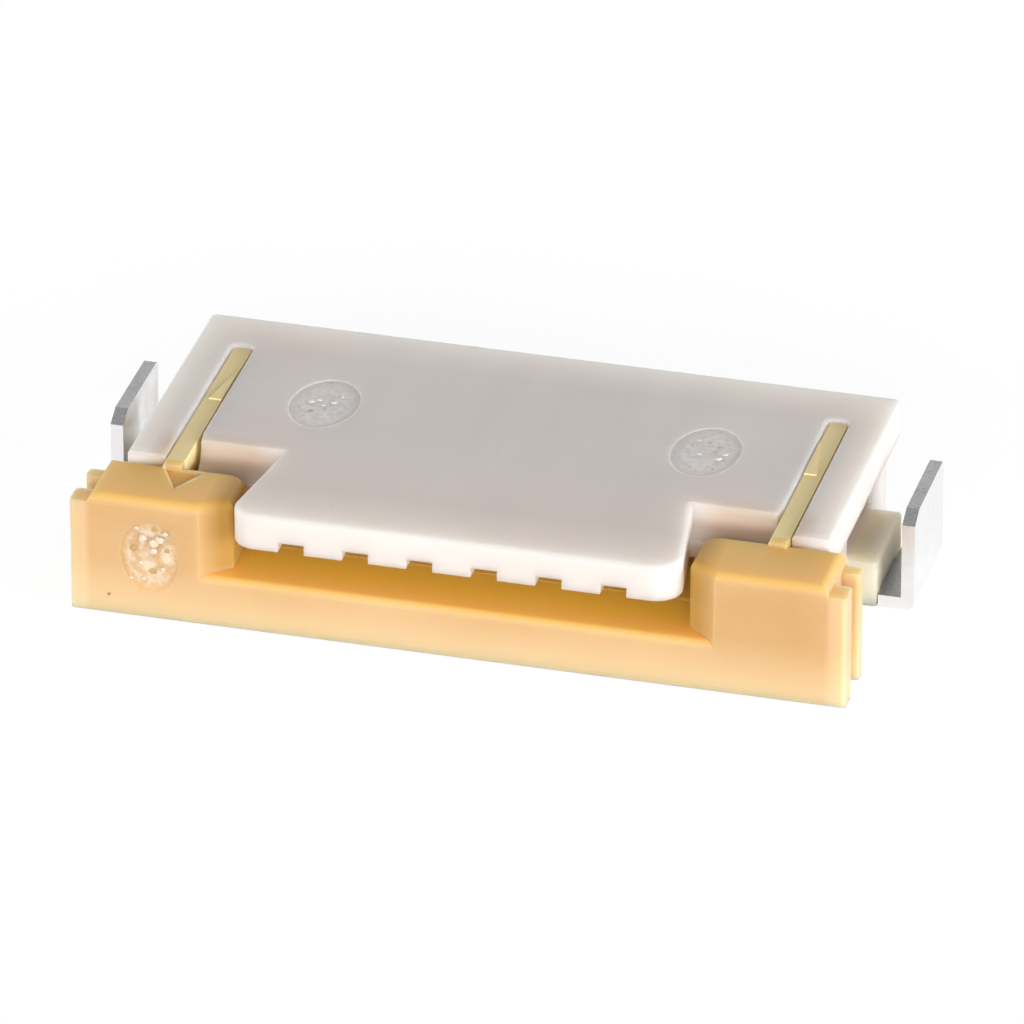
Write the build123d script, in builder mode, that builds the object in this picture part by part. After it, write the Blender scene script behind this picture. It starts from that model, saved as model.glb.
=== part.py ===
"""Right-angle surface-mount connector for a flat flexible cable.

It has a housing, a slide lock, fork contacts and fitting nails. X runs along the row of contacts, Y from the
cable side to the back, Z up from the board. The origin is the middle of the footprint on the board.
All sizes are in millimetres.
"""

import os

from build123d import *

# Cable and contact row
positions = 6
pitch = 1.0
cable_play = 0.05
slide_gap = 0.05

# Overall stack and depth
height = 2.12
plate_thickness = 0.58
floor_thickness = 0.5
lip_reach = 1.47
body_depth = 4.63
tail_reach = 0.85
rear_wall = 1.4

# Top plate: side strips, slots, lip and ledges
plate_side = 1.975
strip_width = 0.595
slot_width = 0.33
slot_end_wall = 0.885
slot_corner = 0.1
slot_edge = 0.07
slot_flare = 0.16
slot_flare_start = 0.9
lip_inset = 0.35
lip_flare = 0.27
lip_corner = 0.42
lip_edge = 0.1
ledge_depth = 0.62
ledge_drop = 0.3
ledge_blend = 0.18
plate_edge = 0.05
plate_corner = 0.1
gate_width = 1.06
gate_length = 1.56
gate_depth = 0.02
gate_reach = 3.0
gate_setback = 2.215

# Lower body: rails, ears and stop posts
rail_height = 0.74
rail_wall = 0.2
ear_reach = 0.28
ear_setback = 1.905
ear_length = 1.675
ear_round = 0.07
post_depth = 0.2

# Grooves for the contacts
notch_width = 0.41
notch_height = 0.16
notch_depth = 0.5
contact_sheet = 0.2
contact_play = 0.02
groove_height = 0.28
groove_floor = 0.1
groove_front = 0.55
tail_exit = 0.35

# Fork contacts
beam_root = 0.34
beam_tip = 0.2
beam_sag = 0.06
beam_overhang = 0.25
bump_setback = 1.33
bump_drop = 0.3
bump_width = 0.34
arm_height = 0.3
arm_tip_setback = 0.8
web_setback = 0.12
web_depth = 0.85
tail_height = 0.18
tail_neck = 0.3
tail_land = 0.7

# Slide lock
closed_gap = 0.03
board_gap = 0.02
stroke = 1.1
block_depth = 1.24
block_height = 1.99
block_side = 0.275
block_edge = 0.16
block_inner_corner = 0.28
block_outer_corner = 0.17
flange_reach = 0.28
flange_depth = 0.41
flange_drop = 0.14
flange_round = 0.07
fin_setback = 0.87
fin_depth = 0.25
fin_reach = 0.28
fin_drop = 0.19
lead_width = 0.45
lead_depth = 0.35
bar_height = 0.81
bar_edge = 0.12
tongue_thickness = 0.38
tongue_reach = 1.95
tongue_taper = 0.5
tongue_tip = 0.12
arm_width = 0.55
arm_end_gap = 0.04
rib_gap = 0.025
rib_depth = 0.05
barb_width = 0.2
barb_depth = 0.03
barb_start = 2.0
barb_length = 1.0
hook_reach = 0.15
mark_width = 0.62
mark_length = 0.58
mark_depth = 0.05
mark_inset = 0.97
mark_setback = 0.5
torn_width = 0.92
torn_length = 1.2
torn_depth = 0.02
torn_inset = 1.22
torn_height = 1.07

# Fitting nails
nail_sheet = 0.2
nail_length = 1.9
nail_gap = 0.375
fin_height = 1.61
nail_chamfer_length = 0.28
nail_chamfer_height = 0.16
nail_bend = 0.12
nail_corner = 0.07
neck_length = 0.8
neck_setback = 0.4
leg_height = 0.6
leg_inset = 0.36

# Places along Y
overall_depth = lip_reach + body_depth + tail_reach
lip_front = -overall_depth / 2
body_front = lip_front + lip_reach
body_back = body_front + body_depth
tail_end = body_back + tail_reach
root_line = body_front + ledge_depth
slot_end = body_back - slot_end_wall
cable_stop = body_back - rear_wall
ear_front = body_front + ear_setback
ear_back = ear_front + ear_length
post_back = ear_front + post_depth
block_back = body_front - closed_gap
slider_front = block_back - block_depth

# Places along X, measured from the middle to one side
cable_half = (positions + 1) * pitch / 2
throat_half = cable_half + cable_play
plate_half = cable_half + plate_side
slot_outer = plate_half - strip_width
slot_inner = slot_outer - slot_width
slot_centre = (slot_inner + slot_outer) / 2
arm_inner = slot_centre - arm_width / 2
arm_outer = slot_centre + arm_width / 2
channel_inner = arm_inner - slide_gap
channel_outer = arm_outer + slide_gap
rail_half = channel_outer + rail_wall
ear_half = plate_half + ear_reach
lip_root = throat_half - lip_inset
block_outer = plate_half + block_side
contact_centres = [(i - (positions - 1) / 2) * pitch for i in range(positions)]

# Places along Z
plate_bottom = height - plate_thickness
ledge_top = height - ledge_drop
groove_top = plate_bottom + groove_height
arm_bottom = rail_height + slide_gap
arm_top = plate_bottom - slide_gap
block_top = board_gap + block_height
bar_top = board_gap + bar_height
tongue_bottom = floor_thickness + slide_gap
tongue_top = tongue_bottom + tongue_thickness

sides = (-1, 1)
over = 0.2


def span(low, high):
    """Middle of a stretch and its length."""
    return (low + high) / 2, high - low


# Housing
with BuildPart() as housing:
    body_middle, body_length = span(body_front, body_back)
    with BuildSketch(Plane.XY.offset(plate_bottom)) as plate_outline:
        with Locations((0, body_middle)):
            Rectangle(2 * plate_half, body_length)
        fillet(plate_outline.vertices().group_by(Axis.Y)[-1], radius=plate_corner)
    extrude(amount=plate_thickness)
    with BuildSketch(Plane.XY):
        with Locations((0, body_middle)):
            Rectangle(2 * rail_half, body_length)
    extrude(amount=plate_bottom)
    fillet(
        housing.edges()
        .group_by(Axis.Z)[-1]
        .filter_by(lambda e: e.center().Y > body_front + body_length / 4),
        radius=plate_edge,
    )

    # Side channels for the slider's arms, open to the outside between strip and rail
    for side in sides:
        channel_middle, channel_width = span(channel_inner, rail_half + over)
        channel_y, channel_length = span(body_front - over, slot_end)
        with BuildSketch(Plane.XY.offset(rail_height)):
            with Locations((side * channel_middle, channel_y)):
                Rectangle(channel_width, channel_length)
        extrude(amount=plate_bottom - rail_height, mode=Mode.SUBTRACT)

    # Stop posts that the arm hooks meet when the lock is open
    for side in sides:
        post_middle, post_width = span(channel_outer, rail_half)
        post_y, post_length = span(ear_front, post_back)
        with BuildSketch(Plane.XY.offset(rail_height)):
            with Locations((side * post_middle, post_y)):
                Rectangle(post_width, post_length)
        extrude(amount=plate_bottom - rail_height)

    # Ears that hold the fitting nails
    for side in sides:
        ear_middle, ear_width = span(channel_inner, ear_half)
        ear_y, ear_span = span(ear_front, ear_back)
        with BuildSketch(Plane.XY):
            with Locations((side * ear_middle, ear_y)):
                Rectangle(ear_width, ear_span)
        extrude(amount=rail_height)
    fillet(
        housing.edges()
        .filter_by(lambda e: abs(abs(e.center().X) - ear_half) < 1e-4)
        .filter_by(lambda e: e.center().Z > rail_height / 4),
        radius=ear_round,
    )

    # Cavity for the cable and the slider's tongue
    with BuildSketch(Plane.XY.offset(floor_thickness)):
        cavity_y, cavity_length = span(body_front - over, cable_stop)
        with Locations((0, cavity_y)):
            Rectangle(2 * throat_half, cavity_length)
    extrude(amount=plate_bottom - floor_thickness, mode=Mode.SUBTRACT)

    # Slots that free the side strips, flared inwards at the front
    flare_back = body_front + slot_flare_start
    for side in sides:
        with BuildSketch(Plane.XY.offset(plate_bottom - over)) as slot_outline:
            with BuildLine():
                Polyline(
                    (side * slot_outer, body_front - over),
                    (side * slot_outer, slot_end),
                    (side * slot_inner, slot_end),
                    (side * slot_inner, flare_back),
                    (side * (slot_inner - slot_flare), body_front),
                    (side * (slot_inner - slot_flare), body_front - over),
                    close=True,
                )
            make_face()
            fillet(slot_outline.vertices().group_by(Axis.Y)[-1], radius=slot_corner)
        extrude(amount=plate_thickness + 2 * over, mode=Mode.SUBTRACT)
    fillet(
        housing.edges()
        .filter_by(lambda e: abs(e.center().Z - height) < 1e-4)
        .filter_by(lambda e: body_front + slot_edge < e.center().Y < slot_end + 1e-4)
        .filter_by(lambda e: slot_inner - slot_flare < abs(e.center().X) < slot_outer + 1e-4),
        radius=slot_edge,
    )

    # Ledges beside the lip, lower than the plate
    for side in sides:
        ledge_middle, ledge_width = span(lip_root, slot_inner + slot_width / 2)
        ledge_y, ledge_length = span(body_front - over, root_line)
        with BuildSketch(Plane.XY.offset(ledge_top)):
            with Locations((side * ledge_middle, ledge_y)):
                Rectangle(ledge_width, ledge_length)
        extrude(amount=ledge_drop + over, mode=Mode.SUBTRACT)
    fillet(
        housing.edges()
        .filter_by(Axis.X)
        .filter_by(lambda e: abs(e.center().Z - ledge_top) < 1e-4 and abs(e.center().Y - root_line) < 1e-4),
        radius=ledge_blend,
    )

    # Lip: the free front tongue of the plate, wider at its front
    with BuildSketch(Plane.XY.offset(plate_bottom)) as lip_outline:
        lip_wide = lip_root + lip_flare
        with BuildLine():
            Polyline(
                (-lip_root, root_line + over),
                (-lip_root, root_line),
                (-lip_wide, lip_front + lip_corner),
                (-lip_wide, lip_front),
                (lip_wide, lip_front),
                (lip_wide, lip_front + lip_corner),
                (lip_root, root_line),
                (lip_root, root_line + over),
                close=True,
            )
        make_face()
        fillet(lip_outline.vertices().group_by(Axis.Y)[0], radius=lip_corner * 0.95)
    extrude(amount=plate_thickness)
    fillet(
        housing.edges()
        .filter_by(lambda e: abs(e.center().Z - height) < 1e-4)
        .filter_by(lambda e: e.center().Y < root_line - ledge_depth / 4)
        .filter_by(lambda e: abs(e.center().X) < throat_half),
        radius=lip_edge,
    )

    # Notches under the lip's front edge, and the grooves and rear slots that hold the contacts
    for centre in contact_centres:
        with BuildSketch(Plane.XY.offset(plate_bottom - over)):
            notch_y, notch_length = span(lip_front - over, lip_front + notch_depth)
            with Locations((centre, notch_y)):
                Rectangle(notch_width, notch_length)
        extrude(amount=notch_height + over, mode=Mode.SUBTRACT)
        groove_width = contact_sheet + 2 * contact_play
        with BuildSketch(Plane.YZ.offset(centre - groove_width / 2)):
            with BuildLine():
                Polyline(
                    (lip_front + notch_depth - over, plate_bottom - over),
                    (lip_front + notch_depth - over, plate_bottom + notch_height),
                    (lip_front + notch_depth + over, groove_top),
                    (body_back + over, groove_top),
                    (body_back + over, -over),
                    (body_back - tail_exit, -over),
                    (body_back - tail_exit, groove_floor),
                    (body_front + groove_front, groove_floor),
                    (body_front + groove_front, plate_bottom - over),
                    close=True,
                )
            make_face()
        extrude(amount=groove_width, mode=Mode.SUBTRACT)

    # Shallow wells in the top plate where the moulding is gated
    with BuildSketch(Plane.XY.offset(height - gate_depth)):
        for side in sides:
            with Locations((side * gate_reach, body_front + gate_setback)):
                Ellipse(gate_width / 2, gate_length / 2)
    extrude(amount=gate_depth + over, mode=Mode.SUBTRACT)

    # Slits in the ears for the nails' inner legs, and the recesses that their necks lie in
    neck_front = ear_front + neck_setback
    neck_back = neck_front + neck_length
    leg_outer = ear_half - leg_inset + nail_sheet
    leg_inner = ear_half - leg_inset
    for side in sides:
        with BuildSketch(Plane.XZ.offset(-neck_back)):
            with BuildLine():
                Polyline(
                    (side * leg_inner, -over),
                    (side * leg_inner, leg_height),
                    (side * leg_outer, leg_height),
                    (side * leg_outer, nail_sheet),
                    (side * (ear_half + over), nail_sheet),
                    (side * (ear_half + over), -over),
                    close=True,
                )
            make_face()
        extrude(amount=neck_length, mode=Mode.SUBTRACT)
housing.part.label = "housing"

# Slide lock
with BuildPart() as slider:
    # End blocks with the cable lead-in on their inner front edges
    for side in sides:
        with BuildSketch(Plane.XY.offset(board_gap)) as block_outline:
            with BuildLine():
                Polyline(
                    (side * throat_half, block_back),
                    (side * throat_half, slider_front + lead_depth),
                    (side * (throat_half + lead_width), slider_front),
                    (side * block_outer, slider_front),
                    (side * block_outer, block_back),
                    close=True,
                )
            make_face()
            back_corners = block_outline.vertices().group_by(Axis.Y)[-1].sort_by(lambda v: side * v.X)
            fillet(back_corners[0], radius=block_inner_corner)
            fillet(back_corners[-1], radius=block_outer_corner)
        extrude(amount=block_height)
    fillet(slider.edges().group_by(Axis.Z)[-1], radius=block_edge)

    # Front flange and rear fin on each outer side, with the finger groove between them
    for side in sides:
        for start, depth, reach, drop in (
            (0, flange_depth, flange_reach, flange_drop),
            (fin_setback, fin_depth, fin_reach, fin_drop),
        ):
            strip_middle, strip_reach = span(block_outer - block_side, block_outer + reach)
            strip_y, strip_depth = span(slider_front + start, slider_front + start + depth)
            with BuildSketch(Plane.XY.offset(board_gap)):
                with Locations((side * strip_middle, strip_y)):
                    RectangleRounded(strip_reach, strip_depth, flange_round)
            extrude(amount=block_height - drop)

    # Low bar between the blocks
    with BuildSketch(Plane.YZ.offset(-throat_half - lead_width)) as bar_profile:
        with BuildLine():
            Polyline(
                (slider_front, board_gap),
                (slider_front, bar_top),
                (block_back, tongue_top),
                (block_back, board_gap),
                close=True,
            )
        make_face()
        fillet(bar_profile.vertices().group_by(Axis.X)[0].sort_by(Axis.Y)[-1], radius=bar_edge)
    extrude(amount=2 * (throat_half + lead_width))

    # Tongue that lifts the cable against the contacts
    tongue_end = block_back + tongue_reach
    with BuildSketch(Plane.YZ.offset(-cable_half)):
        with BuildLine():
            Polyline(
                (block_back - over, tongue_bottom),
                (block_back - over, tongue_top),
                (tongue_end - tongue_taper, tongue_top),
                (tongue_end, tongue_bottom + tongue_tip),
                (tongue_end, tongue_bottom),
                close=True,
            )
        make_face()
    extrude(amount=2 * cable_half)

    # Arms in the side channels, each with a guide rib in the slot, a barb and an end hook
    arm_end = slot_end - arm_end_gap
    rib_half = slot_width / 2 - rib_gap
    for side in sides:
        arm_y, arm_length = span(block_back - over, arm_end)
        with BuildSketch(Plane.XY.offset(arm_bottom)):
            with Locations((side * slot_centre, arm_y)):
                Rectangle(arm_width, arm_length)
        extrude(amount=arm_top - arm_bottom)
        with BuildSketch(Plane.XY.offset(arm_top - over)) as rib_outline:
            with Locations((side * slot_centre, arm_y)):
                Rectangle(2 * rib_half, arm_length)
            fillet(rib_outline.vertices().group_by(Axis.Y)[-1], radius=slot_corner)
        extrude(amount=height - rib_depth - arm_top + over)
        barb_front = body_front + barb_start
        with BuildSketch(Plane.XY.offset(arm_top - over)):
            with BuildLine():
                Polyline(
                    (side * (slot_centre - rib_half), barb_front),
                    (side * (slot_centre - rib_half + barb_width), barb_front),
                    (side * (slot_centre - rib_half), barb_front + barb_length),
                    close=True,
                )
            make_face()
        extrude(amount=height - barb_depth - arm_top + over)
        hook_middle, hook_width = span(arm_outer - over, channel_outer + hook_reach)
        hook_y, hook_length = span(post_back + stroke + slide_gap / 2, arm_end)
        with BuildSketch(Plane.XY.offset(arm_bottom)):
            with Locations((side * hook_middle, hook_y)):
                Rectangle(hook_width, hook_length)
        extrude(amount=arm_top - arm_bottom)

    # First-position mark sunk in the top of the left block
    with BuildSketch(Plane.XY.offset(block_top - mark_depth)):
        mark_x = -throat_half - mark_inset
        mark_y = slider_front + mark_setback
        with BuildLine():
            Polyline(
                (mark_x, mark_y),
                (mark_x + mark_width / 2, mark_y + mark_length),
                (mark_x - mark_width / 2, mark_y + mark_length),
                close=True,
            )
        make_face()
    extrude(amount=mark_depth + over, mode=Mode.SUBTRACT)

    # Shallow well in the front of the left block where the moulding is gated
    with BuildSketch(Plane.XZ.offset(-slider_front)):
        with Locations((-throat_half - torn_inset, torn_height)):
            Ellipse(torn_width / 2, torn_length / 2)
    extrude(amount=-torn_depth, mode=Mode.SUBTRACT)
slider.part.label = "slider"


def fork_contact(centre):
    """One stamped fork contact whose sheet is centred on the given X."""
    beam_top = groove_top - contact_play
    web_front = cable_stop + web_setback
    web_back = web_front + web_depth
    web_bottom = groove_floor + contact_play
    bump_y = body_front + bump_setback
    beam_end = bump_y - beam_overhang
    arm_end_y = body_front + arm_tip_setback
    bump_bottom = beam_top - beam_sag - beam_tip - bump_drop
    with BuildPart() as contact:
        with BuildSketch(Plane.YZ.offset(centre - contact_sheet / 2)):
            with BuildLine():
                Polyline(
                    (web_back, beam_top),
                    (web_front, beam_top),
                    (beam_end, beam_top - beam_sag),
                    (beam_end, beam_top - beam_sag - beam_tip / 2),
                    (bump_y - bump_width / 2, beam_top - beam_sag - beam_tip),
                    (bump_y - bump_width / 6, bump_bottom),
                    (bump_y + bump_width / 6, bump_bottom),
                    (bump_y + bump_width / 2, beam_top - beam_sag - beam_tip),
                    (web_front, beam_top - beam_root),
                    (web_front, web_bottom + arm_height),
                    (arm_end_y, web_bottom + arm_height * 0.8),
                    (arm_end_y, web_bottom + arm_height * 0.3),
                    (arm_end_y + arm_height, web_bottom),
                    (body_back - tail_exit + contact_play, web_bottom),
                    (body_back - tail_exit + contact_play + tail_height, 0),
                    (tail_end, 0),
                    (tail_end, tail_height),
                    (tail_end - tail_land, tail_height),
                    (tail_end - tail_land - tail_neck, tail_height + tail_neck),
                    (web_back, tail_height + tail_neck),
                    close=True,
                )
            make_face()
        extrude(amount=contact_sheet)
    return contact


def fitting_nail(side):
    """One folded fitting nail, on the left for side -1 and on the right for side 1."""
    foot_inner = ear_half + contact_play
    nail_inner = ear_half + nail_gap
    nail_outer = nail_inner + nail_sheet
    nail_front = ear_front + contact_play
    nail_back = nail_front + nail_length
    with BuildPart() as nail:
        with BuildSketch(Plane.XZ.offset(-nail_back)) as fold:
            with BuildLine():
                Polyline(
                    (side * foot_inner, 0),
                    (side * foot_inner, nail_sheet),
                    (side * nail_inner, nail_sheet),
                    (side * nail_inner, fin_height),
                    (side * nail_outer, fin_height),
                    (side * nail_outer, 0),
                    close=True,
                )
            make_face()
            fillet(fold.vertices().sort_by(lambda v: side * v.X - v.Y)[-1], radius=nail_bend)
        extrude(amount=nail_length)
        chamfer(
            nail.edges().filter_by(Axis.X).group_by(Axis.Z)[-1].sort_by(Axis.Y)[0],
            length=nail_chamfer_length,
            length2=nail_chamfer_height,
        )
        fillet(nail.edges().filter_by(Axis.X).group_by(Axis.Z)[-1].sort_by(Axis.Y)[-1], radius=nail_corner)
        with BuildSketch(Plane.XZ.offset(-neck_back)):
            with BuildLine():
                Polyline(
                    (side * (foot_inner + over), 0),
                    (side * leg_inner, 0),
                    (side * leg_inner, leg_height),
                    (side * leg_outer, leg_height),
                    (side * leg_outer, nail_sheet),
                    (side * (foot_inner + over), nail_sheet),
                    close=True,
                )
            make_face()
        extrude(amount=neck_length)
    return nail


os.makedirs("parts", exist_ok=True)
export_step(housing.part, "parts/housing.step")
export_step(slider.part, "parts/slider.step")
for number, centre in enumerate(contact_centres, start=1):
    contact = fork_contact(centre)
    contact.part.label = f"contact_{number}"
    export_step(contact.part, f"parts/contact_{number}.step")
for name, side in (("nail_left", -1), ("nail_right", 1)):
    nail = fitting_nail(side)
    nail.part.label = name
    export_step(nail.part, f"parts/{name}.step")
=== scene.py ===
"""Looks of a flat flexible cable connector: ivory housing, amber slide lock, tinned contacts and nails.

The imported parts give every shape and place. This script dresses them, adds the gate marks and specks that
the mouldings carry, and sets up the photographer's table, lamps and camera. Where nothing else is said,
lengths are in millimetres, and they are turned into metres where they enter the scene.
"""

import logging
import math
from collections.abc import Iterable
from dataclasses import dataclass, replace
from enum import Enum

import bpy
from mathutils import Matrix, Vector, noise


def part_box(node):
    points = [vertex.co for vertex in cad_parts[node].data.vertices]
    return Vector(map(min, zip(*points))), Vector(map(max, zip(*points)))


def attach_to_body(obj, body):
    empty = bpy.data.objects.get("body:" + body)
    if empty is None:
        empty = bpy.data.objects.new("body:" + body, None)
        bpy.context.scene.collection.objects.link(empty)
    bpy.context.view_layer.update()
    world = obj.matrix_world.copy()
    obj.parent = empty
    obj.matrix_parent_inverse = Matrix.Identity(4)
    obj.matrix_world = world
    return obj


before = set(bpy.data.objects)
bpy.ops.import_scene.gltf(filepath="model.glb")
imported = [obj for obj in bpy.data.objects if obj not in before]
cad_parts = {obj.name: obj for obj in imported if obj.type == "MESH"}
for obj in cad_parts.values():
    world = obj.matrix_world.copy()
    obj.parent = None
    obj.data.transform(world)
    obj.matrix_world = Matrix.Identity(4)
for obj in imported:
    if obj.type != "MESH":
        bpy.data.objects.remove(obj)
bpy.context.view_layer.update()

log = logging.getLogger("connector")

MM = 0.001
PHOTO_WIDTH = 1024
SENSOR_WIDTH = 36.0

Colour = tuple[float, float, float]
Triple = tuple[float, float, float]
Faces = list[tuple[int, ...]]
Socket = bpy.types.NodeSocket
Inputs = dict[str | int, object]

WHITE: Colour = (1.0, 1.0, 1.0)
EVEN: Triple = (1.0, 1.0, 1.0)


class Mixing(Enum):
    """How one colour goes over another."""

    COVER = "MIX"
    DARKEN = "MULTIPLY"


class Measure(Enum):
    """What a limit is measured by: a place on the piece in millimetres, or how far its faces look one way.

    Each value holds the coordinates, their axis, and whether both directions count alike.
    """

    DEPTH = ("Object", "Y", False)
    HEIGHT = ("Object", "Z", False)
    OFF_MIDDLE = ("Object", "X", True)
    LOOKS_RIGHT = ("Normal", "X", False)
    LOOKS_BACK = ("Normal", "Y", False)
    LOOKS_UP = ("Normal", "Z", False)
    LOOKS_ALONG_Y = ("Normal", "Y", True)
    LOOKS_ALONG_Z = ("Normal", "Z", True)


class Facing(Enum):
    """Side of a moulding that a mark lies on, as the outward direction."""

    TOP = (0.0, 0.0, 1.0)
    FRONT = (0.0, -1.0, 0.0)
    BACK = (0.0, 1.0, 0.0)

    def turn(self) -> Matrix:
        """Rotation from a mark's own axes to the moulding's.

        Returns:
            The matrix that takes local X, Y and Z onto the side's right, up and outward directions.
        """
        outward = Vector(self.value)
        right = Vector((-1.0, 0.0, 0.0)) if self is Facing.BACK else Vector((1.0, 0.0, 0.0))
        return Matrix((right, outward.cross(right), outward)).transposed().to_4x4()


@dataclass(frozen=True)
class Ramp:
    """Straight ramp from a low to a high value, while a pattern goes from its start to its end."""

    low: float
    high: float
    start: float = 0.3
    end: float = 0.7


@dataclass(frozen=True)
class Grain:
    """Noise pattern, with the size of its largest features in millimetres and its number of finer layers.

    A small factor in the stretch draws the pattern out along that axis.
    """

    size: float
    detail: float = 2.0
    stretch: Triple = EVEN


@dataclass(frozen=True)
class Relief:
    """Noise pattern pressed into a surface, with its depth in millimetres and its share of full strength."""

    grain: Grain
    depth: float
    strength: float


class Graph:
    """Node tree of one material or of the sky, with short calls that add nodes and join them."""

    def __init__(self, owner: bpy.types.Material | bpy.types.World) -> None:
        """Start with an empty tree.

        Args:
            owner: Material or world that holds the tree.
        """
        owner.use_nodes = True
        self.owner = owner
        self.tree = owner.node_tree
        self.tree.nodes.clear()

    def add(self, kind: str, inputs: Inputs | None = None, **settings: object) -> bpy.types.Node:
        """Add a node, set its properties and fill its sockets.

        Args:
            kind: Type name of the node.
            inputs: Value or output socket for each named or numbered input.
            **settings: Properties of the node itself.

        Returns:
            The new node.
        """
        node = self.tree.nodes.new(kind)
        for key, value in settings.items():
            setattr(node, key, value)
        for key, value in (inputs or {}).items():
            socket = node.inputs[key]
            if isinstance(value, Socket):
                self.tree.links.new(value, socket)
            else:
                socket.default_value = (*value, 1.0) if socket.type == "RGBA" else value
        return node

    def compute(self, operation: str, first: Socket | float, second: Socket | float = 0.0) -> Socket:
        """Result of a calculation with one or two values."""
        return self.add("ShaderNodeMath", {0: first, 1: second}, operation=operation).outputs["Value"]

    def grain(self, grain: Grain) -> Socket:
        """Noise pattern over the piece's own coordinates.

        Args:
            grain: Size, detail and stretch of the pattern.

        Returns:
            The pattern's value, near 0.5 on average.
        """
        place = self.add("ShaderNodeTexCoord").outputs["Object"]
        mapping = self.add("ShaderNodeMapping", {"Vector": place, "Scale": grain.stretch})
        inputs = {"Vector": mapping.outputs[0], "Scale": 1 / (grain.size * MM), "Detail": grain.detail}
        return self.add("ShaderNodeTexNoise", inputs).outputs["Fac"]

    def level(self, value: Socket, ramp: Ramp) -> Socket:
        """Value mapped along a ramp, and held at the ramp's ends beyond it.

        Args:
            value: Socket to map.
            ramp: Where the mapping starts and ends, and what it gives there.

        Returns:
            The mapped value.
        """
        inputs = {
            "Value": value,
            "From Min": ramp.start,
            "From Max": ramp.end,
            "To Min": ramp.low,
            "To Max": ramp.high,
        }
        return self.add("ShaderNodeMapRange", inputs).outputs["Result"]

    def blend(
        self,
        factor: Socket | float,
        first: Socket | Colour,
        second: Socket | Colour,
        mixing: Mixing = Mixing.COVER,
    ) -> Socket:
        """Two colours mixed.

        Args:
            factor: Share of the second colour.
            first: Colour at factor 0.
            second: Colour at factor 1.
            mixing: How the second goes over the first.

        Returns:
            The mixed colour.
        """
        inputs = {0: factor, 1: first, 2: second}
        return self.add("ShaderNodeMixRGB", inputs, blend_type=mixing.value).outputs[0]

    def press(self, relief: Relief, under: Socket | None = None, mask: Socket | None = None) -> Socket:
        """Surface normal disturbed by a relief.

        Args:
            relief: Pattern, depth and strength.
            under: Normal from another relief that this one lies on.
            mask: Share of the pattern at each place, where it isn't the same all over.

        Returns:
            The normal.
        """
        height = self.grain(relief.grain)
        if mask is not None:
            height = self.compute("MULTIPLY", mask, height)
        inputs = {"Height": height, "Distance": relief.depth * MM, "Strength": relief.strength}
        if under is not None:
            inputs["Normal"] = under
        return self.add("ShaderNodeBump", inputs).outputs["Normal"]

    def seen_directly(self) -> Socket:
        """Share that is 1 for rays from the camera, a reflection or a clear body.

        Returns:
            The share.
        """
        path = self.add("ShaderNodeLightPath").outputs
        first = self.compute("MAXIMUM", path["Is Camera Ray"], path["Is Glossy Ray"])
        return self.compute("MAXIMUM", first, path["Is Transmission Ray"])

    def close(self, surface: Socket) -> bpy.types.Material:
        """Join the surface to the material's output and hand the material over."""
        self.add("ShaderNodeOutputMaterial", {"Surface": surface})
        return self.owner


def new_graph(name: str) -> Graph:
    """Empty graph of a new material with this name."""
    return Graph(bpy.data.materials.new(name))


@dataclass(frozen=True)
class Limit:
    """One soft edge of a region: by what it is measured, where the region is empty and where it is full."""

    measure: Measure
    empty: float
    full: float

    def mask(self, graph: Graph) -> Socket:
        """Share that goes from 0 to 1 across the edge.

        Args:
            graph: Tree to work in.

        Returns:
            The share.
        """
        coordinates, axis, both_ways = self.measure.value
        place = graph.add("ShaderNodeTexCoord").outputs[coordinates]
        value = graph.add("ShaderNodeSeparateXYZ", {0: place}).outputs[axis]
        if both_ways:
            value = graph.compute("ABSOLUTE", value)
        unit = MM if coordinates == "Object" else 1.0
        return graph.level(value, Ramp(0.0, 1.0, self.empty * unit, self.full * unit))


def region(graph: Graph, limits: Iterable[Limit], share: float = 1.0) -> Socket | float:
    """Soft mask of the places that meet several limits at once.

    Args:
        graph: Tree to work in.
        limits: Edges of the region.
        share: Value of the mask where all limits are met.

    Returns:
        The mask.
    """
    mask: Socket | float = share
    for limit in limits:
        mask = graph.compute("MULTIPLY", mask, limit.mask(graph))
    return mask


@dataclass(frozen=True)
class PaintedLight:
    """Light and shade painted into one region of a moulding's colour: where a wall is thin, where a
    neighbour's glow shines through, and where shade falls.
    """

    colour: Colour
    share: float
    mixing: Mixing
    limits: tuple[Limit, ...]

    def lay(self, graph: Graph, base: Socket) -> Socket:
        """Blend the painted light and shade over the base colour in its region."""
        return graph.blend(region(graph, self.limits, self.share), base, self.colour, self.mixing)


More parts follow.
